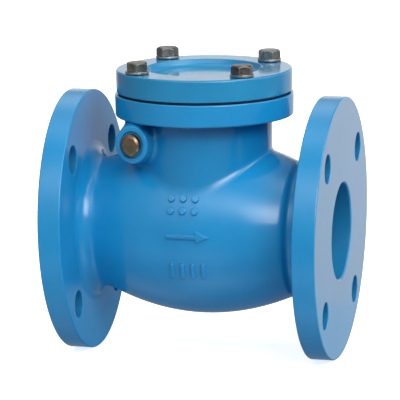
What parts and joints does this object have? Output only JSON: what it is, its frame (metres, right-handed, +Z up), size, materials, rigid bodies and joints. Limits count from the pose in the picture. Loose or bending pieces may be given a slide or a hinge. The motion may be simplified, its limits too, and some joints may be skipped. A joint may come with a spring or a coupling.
{
  "type": "swing check valve",
  "caption": "Flanged swing check valve: cast body with drilled pipe flanges, bolted round cover, side hinge pin plugs and a swinging disc inside.",
  "frame": {"origin": "the bottom of the valve: level with the lowest point of the flanges, straight under the point where the pipe axis crosses the bonnet axis (the pipe axis is 88.9 mm above it)", "axes": "+X along the pipe towards the outlet, +Z up through the bonnet, -Y towards the front face with the flow arrow"},
  "size_m": [0.216, 0.1778, 0.202],
  "materials": {
    "body_enamel": "glossy blue enamel paint over cast iron",
    "cover_enamel": "glossy blue enamel paint over cast iron",
    "gasket_fibre": "dark compressed fibre sheet",
    "bolt_steel": "dull passivated steel, worn at the edges",
    "washer_steel": "dull passivated steel",
    "seat_bronze": "turned bronze",
    "pin_stainless": "ground stainless steel",
    "bush_bronze": "turned bronze",
    "plug_brass": "dull brown oxidised brass, bright along the rim",
    "arm_iron": "dark cast ductile iron",
    "disc_iron": "dark cast iron, turned front",
    "facing_bronze": "lapped bronze",
    "disc_washer_steel": "satin stainless steel",
    "nut_bronze": "machined bronze",
    "split_pin_steel": "drawn stainless wire"
  },
  "bodies": {
    "valve_body": {"body": "body_enamel", "cover": "cover_enamel", "cover_gasket": "gasket_fibre", "cover_bolt_1": "bolt_steel", "cover_bolt_2": "bolt_steel", "cover_bolt_3": "bolt_steel", "cover_bolt_4": "bolt_steel", "cover_washer_1": "washer_steel", "cover_washer_2": "washer_steel", "cover_washer_3": "washer_steel", "cover_washer_4": "washer_steel", "seat_ring": "seat_bronze", "hinge_bush_front": "bush_bronze", "hinge_bush_back": "bush_bronze", "pin_plug_front": "plug_brass", "pin_plug_back": "plug_brass"},
    "pin": {"hinge_pin": "pin_stainless"},
    "arm": {"hinge_arm": "arm_iron"},
    "disc_assembly": {"disc": "disc_iron", "disc_facing_ring": "facing_bronze", "disc_washer": "disc_washer_steel", "disc_nut": "nut_bronze", "disc_split_pin": "split_pin_steel"}
  },
  "joints": [
    {"name": "arm_swing", "type": "hinge", "parent": "valve_body", "child": "arm", "pos_m": [-0.041, 0, 0.1509], "axis": [0, -1, 0], "range_deg": [0, 65]},
    {"name": "disc_spin", "type": "hinge", "parent": "arm", "child": "disc_assembly", "pos_m": [-0.032, 0, 0.0889], "axis": [1, 0, 0], "continuous": true},
    {"name": "pin_turn", "type": "hinge", "parent": "valve_body", "child": "pin", "pos_m": [-0.041, 0, 0.1509], "axis": [0, -1, 0], "continuous": true}
  ]
}
